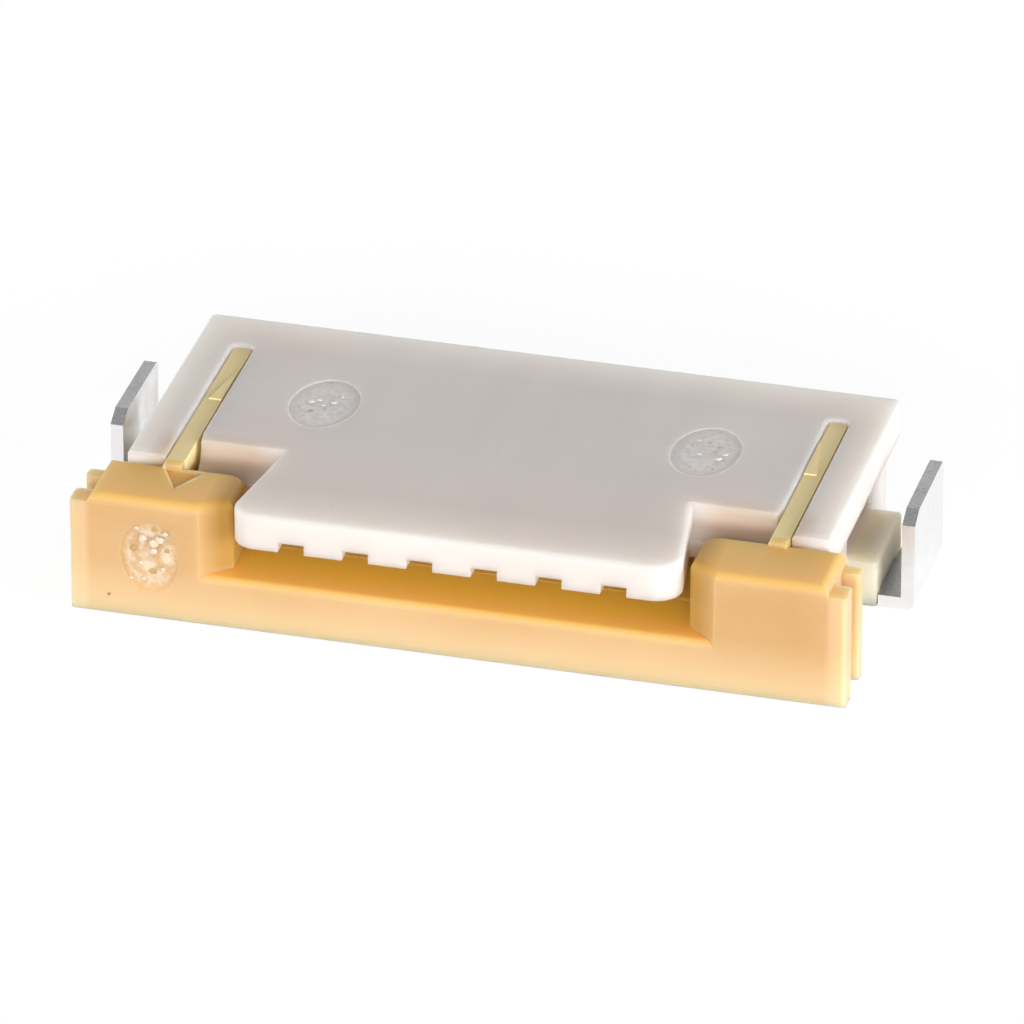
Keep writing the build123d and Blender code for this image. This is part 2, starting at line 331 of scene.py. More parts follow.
@dataclass(frozen=True)
class Scar:
    """Oval place where a moulding was broken from its sprue: whitened and rough, its small hollows shown by
    painted shade.

    The half sizes are the oval's reach along each axis, the veil is the share of whitening, and each detail
    is a number of finer layers in a pattern.
    """

    half_size: Triple
    torn: Colour
    # Painted shade: the darker colour laid where the mark's small hollows are.
    pit_shade: Colour
    depth: float
    centre: Triple = (0.0, 0.0, 0.0)
    crumb_size: float = 0.11
    veil: float = 0.6
    strength: float = 0.9
    fray_detail: float = 3.0
    crumb_detail: float = 4.0
    relief_detail: float = 5.0
    # Stretch of the pattern of painted hollow shade.
    hole_shade_stretch: Triple = (1.0, 1.3, 1.0)
    fray: Ramp = Ramp(-0.2, 0.2)
    rim: Ramp = Ramp(1.0, 0.0, 0.8, 1.0)
    crumbs: Ramp = Ramp(0.1, 1.0, 0.42, 0.6)
    # Ramp of the pattern of painted hollow shade.
    hole_shade: Ramp = Ramp(0.7, 0.0, 0.3, 0.38)

    def mask(self, graph: Graph) -> Socket:
        """Share that is 1 inside the oval and falls to 0 over a frayed rim.

        Args:
            graph: Tree to work in.

        Returns:
            The share.
        """
        scale = tuple(1 / (half * MM) for half in self.half_size)
        shift = tuple(-middle / half for middle, half in zip(self.centre, self.half_size))
        place = graph.add("ShaderNodeTexCoord").outputs["Object"]
        local = graph.add("ShaderNodeMapping", {"Vector": place, "Location": shift, "Scale": scale})
        reach = graph.add("ShaderNodeVectorMath", {0: local.outputs["Vector"]}, operation="LENGTH")
        fray = graph.level(graph.grain(Grain(self.crumb_size, self.fray_detail)), self.fray)
        return graph.level(graph.compute("ADD", reach.outputs["Value"], fray), self.rim)

    def lay(self, graph: Graph, base: Socket) -> Socket:
        """Whiten a colour inside the oval and paint shade where its small hollows are.

        Args:
            graph: Tree to work in.
            base: Colour of the sound skin.

        Returns:
            The scarred colour.
        """
        crumbs = graph.level(graph.grain(Grain(self.crumb_size, self.crumb_detail)), self.crumbs)
        veil = graph.compute("MULTIPLY", crumbs, self.veil)
        whitened = graph.blend(graph.compute("MULTIPLY", self.mask(graph), veil), base, self.torn)
        pattern = Grain(self.crumb_size, stretch=self.hole_shade_stretch)
        hole_shade = graph.level(graph.grain(pattern), self.hole_shade)
        return graph.blend(graph.compute("MULTIPLY", self.mask(graph), hole_shade), whitened, self.pit_shade)

    def roughen(self, graph: Graph, under: Socket) -> Socket:
        """Lay the scar's crumbled relief over the normal of the sound skin."""
        crumble = Relief(Grain(self.crumb_size, self.relief_detail), self.depth, self.strength)
        return graph.press(crumble, under, self.mask(graph))


@dataclass(frozen=True)
class MouldedPlastic:
    """Satin, slightly translucent plastic with clouded colour and the fine grain of a spark-eroded mould.

    The solid region spreads no light under its skin.
    """

    name: str
    pale: Colour
    deep: Colour
    fleck: Colour
    scatter_reach: Triple
    scatter_size: float
    scatter_share: float = 0.95
    # Light and shade painted into the colour, region by region.
    painted_lights: tuple[PaintedLight, ...] = ()
    scars: tuple[Scar, ...] = ()
    solid: tuple[Limit, ...] = ()
    clouds: Grain = Grain(2.6, 3.0)
    streaks: Grain = Grain(0.7, 3.0, (0.25, 1.0, 1.0))
    flecks: Grain = Grain(0.12, 1.0)
    crumb_tones: Grain = Grain(0.07, 3.0)
    gloss_grain: Grain = Grain(0.7, 4.0)
    cloud_share: Ramp = Ramp(0.0, 1.0)
    streak_share: Ramp = Ramp(0.0, 0.35)
    fleck_share: Ramp = Ramp(0.0, 0.5, 0.68, 0.8)
    gloss: Ramp = Ramp(0.48, 0.58)
    waves: Relief = Relief(Grain(1.4, 1.0), 0.006, 0.5)
    skin: Relief = Relief(Grain(0.045), 0.004, 0.35)
    grit: Relief = Relief(Grain(0.03, 3.0), 0.012, 0.8)
    refraction: float = 1.5
    specular: float = 0.25

    def surface(
        self, graph: Graph, colour: Socket, normal: Socket, scatter: Socket | float
    ) -> bpy.types.Material:
        """Shader shared by the clean and the torn places of the moulding.

        Args:
            graph: Tree to finish.
            colour: Base colour.
            normal: Surface normal.
            scatter: Share of the light that spreads under the skin.

        Returns:
            The finished material.
        """
        inputs = {
            "Base Color": colour,
            "Roughness": graph.level(graph.grain(self.gloss_grain), self.gloss),
            "IOR": self.refraction,
            "Specular IOR Level": self.specular,
            "Subsurface Weight": scatter,
            "Subsurface Radius": self.scatter_reach,
            "Subsurface Scale": self.scatter_size * MM,
            "Normal": normal,
        }
        return graph.close(graph.add("ShaderNodeBsdfPrincipled", inputs).outputs["BSDF"])

    def clouded(self, graph: Graph) -> Socket:
        """Clouds between the pale and deep shades, with faint flow streaks and small flecks.

        Args:
            graph: Tree to work in.

        Returns:
            The colour.
        """
        base = graph.blend(graph.level(graph.grain(self.clouds), self.cloud_share), self.pale, self.deep)
        base = graph.blend(graph.level(graph.grain(self.streaks), self.streak_share), base, self.deep)
        return graph.blend(graph.level(graph.grain(self.flecks), self.fleck_share), base, self.fleck)

    def colour(self, graph: Graph) -> Socket:
        """Clouded colour with the painted light and shade of the regions, and the scars with their painted
        hollow shade, over it.

        Args:
            graph: Tree to work in.

        Returns:
            The colour.
        """
        base = self.clouded(graph)
        for layer in (*self.painted_lights, *self.scars):
            base = layer.lay(graph, base)
        return base

    def relief(self, graph: Graph) -> Socket:
        """Shallow sink waves under the mould's fine grain and the scars.

        Args:
            graph: Tree to work in.

        Returns:
            The surface normal.
        """
        normal = graph.press(self.skin, graph.press(self.waves))
        for scar in self.scars:
            normal = scar.roughen(graph, normal)
        return normal

    def build(self) -> bpy.types.Material:
        """Make the material of the moulding's own faces.

        Returns:
            The material.
        """
        graph = new_graph(self.name)
        scatter: Socket | float = self.scatter_share
        if self.solid:
            scatter = graph.level(region(graph, self.solid), Ramp(self.scatter_share, 0.0, 0.0, 1.0))
        return self.surface(graph, self.colour(graph), self.relief(graph), scatter)

    def build_crumbs(self, torn: Colour, pit_shade: Colour) -> bpy.types.Material:
        """Make the material of the crumbs, and of the dark discs that paint the shade of small hollows, in a
        gate mark.

        Args:
            torn: Colour of the stressed, whitened plastic.
            pit_shade: Painted shade colour of the dark discs that stand for small hollows.

        Returns:
            The material, which reads the mesh attribute that marks where the hollow shade is painted.
        """
        graph = new_graph(f"{self.name}_crumbs")
        tone = graph.blend(graph.grain(self.crumb_tones), torn, self.clouded(graph))
        in_pit_shade = graph.add("ShaderNodeAttribute", attribute_name="pit_shade").outputs["Fac"]
        return self.surface(graph, graph.blend(in_pit_shade, tone, pit_shade), graph.press(self.grit), 0.0)


@dataclass(frozen=True)
class TinnedSheet:
    """Tin-plated sheet metal: drawn lines on the rolled faces, torn striations on the stamped edges, whose
    dark tones on the nails also paint shade.
    """

    name: str
    bright: Colour
    dull: Colour
    sheared_and_shaded: Colour
    streak_and_shade: Colour
    cut_and_shaded: Limit
    patches: Grain = Grain(0.5, 4.0)
    patch_share: Ramp = Ramp(0.0, 1.0)
    tear_share: Ramp = Ramp(0.0, 1.0)
    gloss: Ramp = Ramp(0.24, 0.42, 0.0, 1.0)
    lines: Relief = Relief(Grain(0.02, 2.0, (1.0, 0.06, 1.0)), 0.003, 0.3)
    tears: Relief = Relief(Grain(0.03, 3.0, (1.0, 1.0, 0.08)), 0.006, 0.4)

    def build(self) -> bpy.types.Material:
        """Make the material of a stamped sheet.

        Returns:
            The material, with the stamped-edge look on the faces that its edge limit picks out, which on the
            nails also paints shade.
        """
        graph = new_graph(self.name)
        patches = graph.level(graph.grain(self.patches), self.patch_share)
        rolled = graph.blend(patches, self.bright, self.dull)
        tears = graph.level(graph.grain(self.tears.grain), self.tear_share)
        # Dark edge tones: on the nails they also paint shade and a dark reflection on every face that looks
        # along the vertical.
        torn = graph.blend(tears, self.sheared_and_shaded, self.streak_and_shade)
        inputs = {
            "Base Color": graph.blend(self.cut_and_shaded.mask(graph), rolled, torn),
            "Metallic": 1.0,
            "Roughness": graph.level(patches, self.gloss),
            "Normal": graph.press(self.tears, graph.press(self.lines)),
        }
        return graph.close(graph.add("ShaderNodeBsdfPrincipled", inputs).outputs["BSDF"])


@dataclass(frozen=True)
class DarkSpeck:
    """Burnt or foreign speck caught in the plastic's skin."""

    name: str = "burnt_speck"
    colour: Colour = (0.035, 0.022, 0.015)
    edge: Colour = (0.16, 0.1, 0.06)
    tones: Grain = Grain(0.02)
    relief: Relief = Relief(Grain(0.01), 0.003, 0.5)
    roughness: float = 0.55

    def build(self) -> bpy.types.Material:
        """Make the dark material with its uneven tone.

        Returns:
            The material.
        """
        graph = new_graph(self.name)
        inputs = {
            "Base Color": graph.blend(graph.grain(self.tones), self.colour, self.edge),
            "Roughness": self.roughness,
            "Normal": graph.press(self.relief),
        }
        return graph.close(graph.add("ShaderNodeBsdfPrincipled", inputs).outputs["BSDF"])


@dataclass(frozen=True)
class PaperWhite:
    """White sweep of the photographer's table, which looks white to the camera and keeps a soft shadow."""

    name: str = "paper_white"
    sheet: Colour = (0.8, 0.8, 0.8)
    shadow_share: float = 0.22
    glow: float = 0.9
    fibres: Grain = Grain(1.2, 4.0)
    fibre_tone: Ramp = Ramp(0.985, 1.0)

    def build(self) -> bpy.types.Material:
        """Make diffuse paper for the light, and mostly plain white for what the camera or a reflection sees.

        Returns:
            The material.
        """
        graph = new_graph(self.name)
        fibres = graph.level(graph.grain(self.fibres), self.fibre_tone)
        grey = graph.add("ShaderNodeCombineColor", {0: fibres, 1: fibres, 2: fibres}).outputs[0]
        tone = graph.blend(1.0, self.sheet, grey, Mixing.DARKEN)
        paper = graph.add("ShaderNodeBsdfDiffuse", {"Color": tone}).outputs["BSDF"]
        shadowed = tuple(channel * self.shadow_share for channel in self.sheet)
        faint = graph.add("ShaderNodeBsdfDiffuse", {"Color": shadowed}).outputs["BSDF"]
        white = graph.add("ShaderNodeEmission", {"Strength": self.glow}).outputs["Emission"]
        seen = graph.add("ShaderNodeAddShader", {0: faint, 1: white}).outputs["Shader"]
        mix = graph.add("ShaderNodeMixShader", {0: graph.seen_directly(), 1: paper, 2: seen})
        return graph.close(mix.outputs["Shader"])


RIB_LIMITS = (Limit(Measure.DEPTH, -2.04, -2.0), Limit(Measure.HEIGHT, 1.4, 1.6))
UPWARD = Limit(Measure.LOOKS_UP, 0.3, 0.9)

# Painted shade: the middle of the plate's top is darkened, so that its edges look lit through the
# translucent walls.
PLATE_MIDDLE_PAINTED_SHADE = PaintedLight(
    colour=(0.845, 0.835, 0.845),
    share=1.0,
    mixing=Mixing.DARKEN,
    limits=(
        Limit(Measure.OFF_MIDDLE, 5.6, 4.7),
        Limit(Measure.DEPTH, 2.6, 1.7),
        Limit(Measure.DEPTH, -3.5, -2.4),
        Limit(Measure.LOOKS_UP, 0.5, 0.9),
    ),
)
# Painted shade: the upper housing's front faces are darkened a little, standing in for how the front light
# falls on them.
PLATE_FRONT_PAINTED_SHADE = PaintedLight(
    colour=(0.93, 0.92, 0.925),
    share=1.0,
    mixing=Mixing.DARKEN,
    limits=(Limit(Measure.LOOKS_BACK, -0.5, -0.9), Limit(Measure.HEIGHT, 1.3, 1.5)),
)
# Painted shade: the upper housing's right faces are darkened a little and cooled, standing in for the bluish
# light from the right.
PLATE_RIGHT_PAINTED_SHADE = PaintedLight(
    colour=(0.94, 0.945, 0.955),
    share=1.0,
    mixing=Mixing.DARKEN,
    limits=(Limit(Measure.LOOKS_RIGHT, 0.5, 0.9), Limit(Measure.HEIGHT, 1.4, 1.6)),
)
# Painted light and shade: the ledges beside the slider are darkened to peach, standing in for amber light
# bounced and glowing from the slider.
LEDGE_PAINTED_GLOW = PaintedLight(
    colour=(0.82, 0.69, 0.55),
    share=1.0,
    mixing=Mixing.DARKEN,
    limits=(
        Limit(Measure.DEPTH, -1.1, -1.5),
        Limit(Measure.DEPTH, -2.6, -2.1),
        Limit(Measure.OFF_MIDDLE, 3.2, 3.7),
        Limit(Measure.OFF_MIDDLE, 5.2, 4.9),
    ),
)
# Painted light: the low side ears are covered with a brighter cream, standing in for light through their
# thin walls where the nails and blocks shade them.
EAR_PAINTED_LIGHT = PaintedLight(
    colour=(1.0, 0.86, 0.62),
    share=0.95,
    mixing=Mixing.COVER,
    limits=(Limit(Measure.HEIGHT, 1.6, 1.4), Limit(Measure.OFF_MIDDLE, 5.25, 5.33)),
)
IVORY = MouldedPlastic(
    name="ivory_moulding",
    pale=(0.96, 0.88, 0.81),
    deep=(0.91, 0.82, 0.755),
    fleck=(0.87, 0.77, 0.7),
    scatter_reach=(1.0, 0.92, 0.8),
    scatter_size=0.65,
    painted_lights=(PLATE_MIDDLE_PAINTED_SHADE, PLATE_FRONT_PAINTED_SHADE, PLATE_RIGHT_PAINTED_SHADE, LEDGE_PAINTED_GLOW, EAR_PAINTED_LIGHT),
)
# Its darker colour is painted shade in the mark's small hollows.
IVORY_SCAR = Scar(half_size=(0.53, 0.78, 0.4), torn=(0.98, 0.96, 0.95), pit_shade=(0.76, 0.66, 0.59), depth=0.017)

# Painted light: the slider turns paler towards the bottom, standing in for light from the floor.
LOW_BAR_PAINTED_LIGHT = PaintedLight(
    colour=(0.82, 0.605, 0.35),
    share=0.8,
    mixing=Mixing.COVER,
    limits=(Limit(Measure.HEIGHT, 1.0, 0.25),),
)
# Painted shading: the slider's upward faces are covered with deeper orange than its sides, standing in for
# light that reaches them only through the amber.
AMBER_TOP_PAINTED_SHADING = PaintedLight(colour=(0.99, 0.58, 0.16), share=0.9, mixing=Mixing.COVER, limits=(UPWARD,))
# Painted shade and glow: the slider's tops under the housing's lip are covered with deep orange, standing in
# for the lip's shade and the amber's glow.
UNDER_LIP_PAINTED_SHADE = PaintedLight(
    colour=(1.0, 0.58, 0.04),
    share=0.85,
    mixing=Mixing.COVER,
    limits=(
        UPWARD,
        Limit(Measure.OFF_MIDDLE, 4.0, 3.6),
        Limit(Measure.DEPTH, -3.25, -2.7),
        Limit(Measure.HEIGHT, 1.2, 1.0),
    ),
)
# Painted shade: the blocks' inner sides are covered with dark amber, standing in for the housing lip's
# shadow.
BLOCK_INNER_PAINTED_SHADE = PaintedLight(
    colour=(0.57, 0.32, 0.055),
    share=0.8,
    mixing=Mixing.COVER,
    limits=(Limit(Measure.OFF_MIDDLE, 4.0, 3.7), Limit(Measure.HEIGHT, 0.8, 0.95)),
)
# Painted light: the slider's outer flanges are made paler, standing in for light through their thin walls.
FLANGE_PAINTED_LIGHT = PaintedLight(
    colour=(0.92, 0.72, 0.47),
    share=0.35,
    mixing=Mixing.COVER,
    limits=(Limit(Measure.OFF_MIDDLE, 5.7, 5.8),),
)
# Painted glow: the ribs in the housing's slots are covered with a bright pale amber, standing in for light
# glowing into the slots through the ivory.
GUIDE_RIB_PAINTED_GLOW = PaintedLight(colour=(1.0, 0.82, 0.42), share=1.0, mixing=Mixing.COVER, limits=RIB_LIMITS)
AMBER = MouldedPlastic(
    name="amber_moulding",
    pale=(0.74, 0.49, 0.25),
    deep=(0.655, 0.4, 0.17),
    fleck=(0.63, 0.38, 0.15),
    scatter_reach=(1.0, 0.85, 0.7),
    scatter_size=0.5,
    painted_lights=(LOW_BAR_PAINTED_LIGHT, AMBER_TOP_PAINTED_SHADING, UNDER_LIP_PAINTED_SHADE, BLOCK_INNER_PAINTED_SHADE, FLANGE_PAINTED_LIGHT, GUIDE_RIB_PAINTED_GLOW),
    solid=RIB_LIMITS,
    clouds=Grain(1.8, 3.0),
)
# Its darker colour is painted shade in the mark's small hollows.
AMBER_SCAR = Scar(
    half_size=(0.46, 0.4, 0.6),
    torn=(0.97, 0.88, 0.74),
    pit_shade=(0.66, 0.43, 0.16),
    depth=0.03,
    crumb_size=0.17,
)

# Partly painted shade: the dark edge tones go on every face that looks along the vertical, the nails' dull
# stamped top edges and the plated tops of their feet alike, standing in for shade and for a painted
# reflection of the dark room above.
NAIL_TIN = TinnedSheet(
    name="nail_tin",
    bright=(0.9, 0.9, 0.9),
    dull=(0.8, 0.8, 0.8),
    sheared_and_shaded=(0.33, 0.33, 0.335),
    streak_and_shade=(0.22, 0.22, 0.225),
    cut_and_shaded=Limit(Measure.LOOKS_ALONG_Z, 0.6, 0.8),
)
CONTACT_TIN = TinnedSheet(
    name="contact_tin",
    bright=(0.78, 0.77, 0.74),
    dull=(0.64, 0.62, 0.59),
    sheared_and_shaded=(0.8, 0.78, 0.74),
    streak_and_shade=(0.62, 0.6, 0.56),
    cut_and_shaded=Limit(Measure.LOOKS_ALONG_Y, 0.6, 0.8),
)


@dataclass(frozen=True)
class Lump:
    """Lumpy flattened ball, the form of a crumb, of a dark disc painted as a shaded hollow, or of a speck.
    """

    radius: float
    flatness: float
    seed: float
    middle: tuple[float, float] = (0.0, 0.0)
    rings: int = 8
    sectors: int = 14
    swell: float = 0.45
    bump_rate: float = 1.9
    narrowness: float = 0.85

    def ball(self) -> list[Vector]:
        """Points of a round ball with radius 1, ring by ring from its top.

        Returns:
            The points, with the two poles first and last.
        """
        points = [Vector((0.0, 0.0, 1.0))]
        for ring in range(1, self.rings):
            polar = math.pi * ring / self.rings
            for sector in range(self.sectors):
                turn = 2 * math.pi * sector / self.sectors
                level = Vector((math.cos(turn), math.sin(turn), 0.0)) * math.sin(polar)
                points.append(level + Vector((0.0, 0.0, math.cos(polar))))
        return [*points, Vector((0.0, 0.0, -1.0))]

    def points(self) -> list[Vector]:
        """Points of the ball after lumps and flattening.

        Returns:
            The points in millimetres, around the lump's middle.
        """
        away = Vector((self.seed, 2 * self.seed, -self.seed))
        shaped = []
        for point in self.ball():
            swell = 1 + self.swell * noise.noise(point * self.bump_rate + away)
            flat = Vector((point.x, point.y * self.narrowness, point.z * self.flatness))
            shaped.append(Vector((*self.middle, 0.0)) + flat * (swell * self.radius))
        return shaped

    def faces(self, first: int = 0) -> Faces:
        """Faces between the ball's points.

        Args:
            first: Number of the ball's first point in the mesh.

        Returns:
            Triangles at the poles and quadrilaterals between the rings.
        """
        last = first + 1 + (self.rings - 1) * self.sectors
        sides: Faces = []
        for sector in range(self.sectors):
            after = (sector + 1) % self.sectors
            sides.append((first, first + 1 + sector, first + 1 + after))
            for ring in range(self.rings - 2):
                upper = first + 1 + ring * self.sectors
                lower = upper + self.sectors
                sides.append((upper + sector, lower + sector, lower + after, upper + after))
            sides.append((last, last - self.sectors + after, last - self.sectors + sector))
        return sides


def place_mesh(
    name: str, points: Iterable[Vector], faces: Faces, centre: Vector, facing: Facing
) -> bpy.types.Object:
    """Make a smooth object and put it on a face of a moulding.

    Args:
        name: Name of the object and its mesh.
        points: Points of the mesh in millimetres.
        faces: Its faces.
        centre: Its place in millimetres.
        facing: Side that it lies on.

    Returns:
        The object.
    """
    mesh = bpy.data.meshes.new(name)
    mesh.from_pydata([point * MM for point in points], [], faces)
    for polygon in mesh.polygons:
        polygon.use_smooth = True
    piece = bpy.data.objects.new(name, mesh)
    bpy.context.scene.collection.objects.link(piece)
    piece.matrix_world = Matrix.Translation(centre * MM) @ facing.turn()
    return piece


@dataclass(frozen=True)
class Crumb:
    """Crumb, or dark flat disc painted as a shaded hollow, in a gate mark: its place and radius in the
    mark's own millimetres.
    """

    x: float
    y: float
    radius: float


LEFT_CRUMBS = (
    Crumb(-0.22, 0.06, 0.06),
    Crumb(-0.12, 0.13, 0.045),
    Crumb(0.12, 0.1, 0.05),
    Crumb(-0.02, -0.02, 0.035),
    Crumb(0.2, 0.3, 0.03),
)
# Dark flat discs that paint the shade of small hollows in the left mark.
LEFT_SHADED_PITS = (
    Crumb(-0.15, -0.25, 0.05),
    Crumb(0.04, -0.13, 0.03),
    Crumb(0.15, 0.33, 0.02),
    Crumb(-0.35, -0.17, 0.02),
)
RIGHT_CRUMBS = (
    Crumb(0.23, -0.13, 0.06),
    Crumb(0.3, 0.02, 0.045),
    Crumb(-0.1, -0.05, 0.04),
    Crumb(-0.2, 0.36, 0.035),
)
# Dark flat discs that paint the shade of small hollows in the right mark.
RIGHT_SHADED_PITS = (
    Crumb(-0.01, 0.33, 0.035),
    Crumb(0.16, 0.22, 0.04),
    Crumb(0.12, 0.07, 0.03),
    Crumb(-0.27, 0.2, 0.02),
    Crumb(-0.13, -0.49, 0.025),
    Crumb(0.22, -0.46, 0.03),
)
LOCK_CRUMBS = (
    Crumb(-0.12, 0.28, 0.07),
    Crumb(0.06, 0.22, 0.08),
    Crumb(0.15, 0.29, 0.07),
    Crumb(0.25, 0.4, 0.045),
    Crumb(0.05, 0.08, 0.06),
    Crumb(-0.21, 0.45, 0.035),
    Crumb(-0.15, -0.14, 0.04),
    Crumb(0.2, -0.21, 0.045),
    Crumb(-0.3, -0.42, 0.03),
    Crumb(-0.1, -0.4, 0.04),
)
# Dark flat discs that paint the shade of small hollows in the slider's mark.
LOCK_SHADED_PITS = (
    Crumb(-0.25, 0.1, 0.06),
    Crumb(0.06, 0.45, 0.035),
    Crumb(0.27, 0.12, 0.04),
    Crumb(0.04, -0.26, 0.05),
)


@dataclass(frozen=True)
class GateMark:
    """Oval mark left by a sprue: crumbs, and dark flat discs that paint the shade of small hollows, in a
    shallow well, which is part of the moulding.
    """

    name: str
    facing: Facing
    centre: Triple
    crumbs: tuple[Crumb, ...]
    # Dark flat discs, painted as the shade of small hollows.
    shaded_pits: tuple[Crumb, ...]
    well_depth: float = 0.02
    crumb_flatness: float = 0.22
    pit_shade_flatness: float = 0.1
    seed_step: float = 1.7

    def build(self) -> bpy.types.Object:
        """Make one mesh of all crumbs and dark discs, on the floor of the well.

        Returns:
            The object, with an attribute that tells its material where the hollow shade is painted.
        """
        points: list[Vector] = []
        faces: Faces = []
        in_pit_shade: list[float] = []
        for index, crumb in enumerate((*self.crumbs, *self.shaded_pits)):
            is_shaded_pit = index >= len(self.crumbs)
            flatness = self.pit_shade_flatness if is_shaded_pit else self.crumb_flatness
            seed = self.seed_step * index + self.centre[0]
            lump = Lump(crumb.radius, flatness, seed, (crumb.x, crumb.y))
            faces.extend(lump.faces(len(points)))
            points.extend(lump.points())
            in_pit_shade.extend([float(is_shaded_pit)] * (len(points) - len(in_pit_shade)))
        floor = Vector(self.centre) - Vector(self.facing.value) * self.well_depth
        piece = place_mesh(self.name, points, faces, floor, self.facing)
        piece.data.attributes.new("pit_shade", "FLOAT", "POINT").data.foreach_set("value", in_pit_shade)
        return piece


@dataclass(frozen=True)
class Speck:
    """Tiny dark grain lying in a moulding's skin."""

    name: str
    facing: Facing
    centre: Triple
    radius: float
    flatness: float = 0.3

    def build(self) -> bpy.types.Object:
        """Make a lump that is half sunk in the face.

        Returns:
            The object.
        """
        lump = Lump(self.radius, self.flatness, seed=self.centre[0])
        return place_mesh(self.name, lump.points(), lump.faces(), Vector(self.centre), self.facing)


def dress(piece: bpy.types.Object, material: bpy.types.Material) -> None:
    """Give a piece one material in all its slots.

    Args:
        piece: Piece to dress.
        material: Its finish.
    """
    if piece.material_slots:
        for holder in piece.material_slots:
            holder.material = material
    else:
        piece.data.materials.append(material)


def attach(piece: bpy.types.Object, body: str, material: bpy.types.Material) -> None:
    """Dress an added piece, let it ride on a body and report it.

    Args:
        piece: Piece that the script made.
        body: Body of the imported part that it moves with.
        material: Its finish.
    """
    dress(piece, material)
    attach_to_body(piece, body)
    log.info("added %s on body %s", piece.name, body)


@dataclass
class HousingMoulding:
    """Ivory housing with the two gate marks on its plate and a speck on its back edge."""

    node: str = "housing"
    body: str = "base"
    slot: str = "ivory_plastic"
    torn: Colour = (0.95, 0.92, 0.9)
    # Painted shade colour of the dark discs in the gate marks.
    pit_shade: Colour = (0.6, 0.47, 0.38)
    mark_x: float = 3.0
    mark_y: float = 0.21
    speck_x: float = -1.24
    speck_drop: float = 0.06
    speck_radius: float = 0.035

    def marks(self) -> tuple[GateMark, ...]:
        """Place the two gate marks on the plate.

        Returns:
            The left and the right mark.
        """
        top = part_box(self.node)[1].z / MM
        sides = (
            ("left", -self.mark_x, LEFT_CRUMBS, LEFT_SHADED_PITS),
            ("right", self.mark_x, RIGHT_CRUMBS, RIGHT_SHADED_PITS),
        )
        return tuple(
            GateMark(f"gate_crumbs_{side}", Facing.TOP, (x, self.mark_y, top), crumbs, shaded_pits)
            for side, x, crumbs, shaded_pits in sides
        )

    def build(self) -> None:
        """Dress the housing and add its marks and speck."""
        marks = self.marks()
        scars = tuple(replace(IVORY_SCAR, centre=mark.centre) for mark in marks)
        dress(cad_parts[self.node], replace(IVORY, scars=scars).build())
        torn = IVORY.build_crumbs(self.torn, self.pit_shade)
        for mark in marks:
            attach(mark.build(), self.body, torn)
        low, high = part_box(self.node)
        place = (self.speck_x, high.y / MM, high.z / MM - self.speck_drop)
        speck = Speck("speck_back", Facing.BACK, place, self.speck_radius)
        attach(speck.build(), self.body, DarkSpeck().build())
        log.info("dressed %s, %.2f mm wide", self.node, (high.x - low.x) / MM)


@dataclass
class SlideLock:
    """Amber slider with the torn gate on its left block and a speck beside it."""

    node: str = "slider"
    body: str = "lock"
    slot: str = "amber_plastic"
    torn: Colour = (0.98, 0.92, 0.82)
    # Painted shade colour of the dark discs in the gate mark.
    pit_shade: Colour = (0.56, 0.37, 0.13)
    gate_x: float = -4.77
    gate_z: float = 1.07
    crumb_flatness: float = 0.35
    speck_x: float = -5.42
    speck_z: float = 0.33
    speck_radius: float = 0.03
    speck_colour: Colour = (0.3, 0.18, 0.09)
    speck_edge: Colour = (0.45, 0.28, 0.14)

    def build(self) -> None:
        """Dress the slider and add its gate mark and speck."""
        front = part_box(self.node)[0].y / MM
        gate = GateMark(
            name="gate_crumbs_lock",
            facing=Facing.FRONT,
            centre=(self.gate_x, front, self.gate_z),
            crumbs=LOCK_CRUMBS,
            shaded_pits=LOCK_SHADED_PITS,
            crumb_flatness=self.crumb_flatness,
        )
        scar = replace(AMBER_SCAR, centre=gate.centre)
        dress(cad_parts[self.node], replace(AMBER, scars=(scar,)).build())
        attach(gate.build(), self.body, AMBER.build_crumbs(self.torn, self.pit_shade))
        speck = Speck("speck_front", Facing.FRONT, (self.speck_x, front, self.speck_z), self.speck_radius)
        brown = DarkSpeck("speck_brown", self.speck_colour, self.speck_edge)
        attach(speck.build(), self.body, brown.build())
        log.info("dressed %s", self.node)


@dataclass
class ContactRow:
    """Tinned fork contacts along the row."""

    prefix: str = "contact_"

    def build(self) -> None:
        """Dress every contact with one shared finish."""
        tin = CONTACT_TIN.build()
        for name in sorted(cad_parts):
            if name.startswith(self.prefix):
                dress(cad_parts[name], tin)
                log.info("dressed %s", name)


@dataclass
class NailPair:
    """Folded fitting nails on both sides."""

    nodes: tuple[str, str] = ("nail_left", "nail_right")

    def build(self) -> None:
        """Dress both nails."""
        tin = NAIL_TIN.build()
        for name in self.nodes:
            dress(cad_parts[name], tin)
            log.info("dressed %s", name)


def direction(azimuth: float, elevation: float) -> Vector:
    """Direction from the part to a place around it.

    Args:
        azimuth: Degrees from the front, towards the right.
        elevation: Degrees above the table.

    Returns:
        The unit vector.
    """
    turn, rise = math.radians(azimuth), math.radians(elevation)
    return Vector((math.sin(turn) * math.cos(rise), -math.cos(turn) * math.cos(rise), math.sin(rise)))


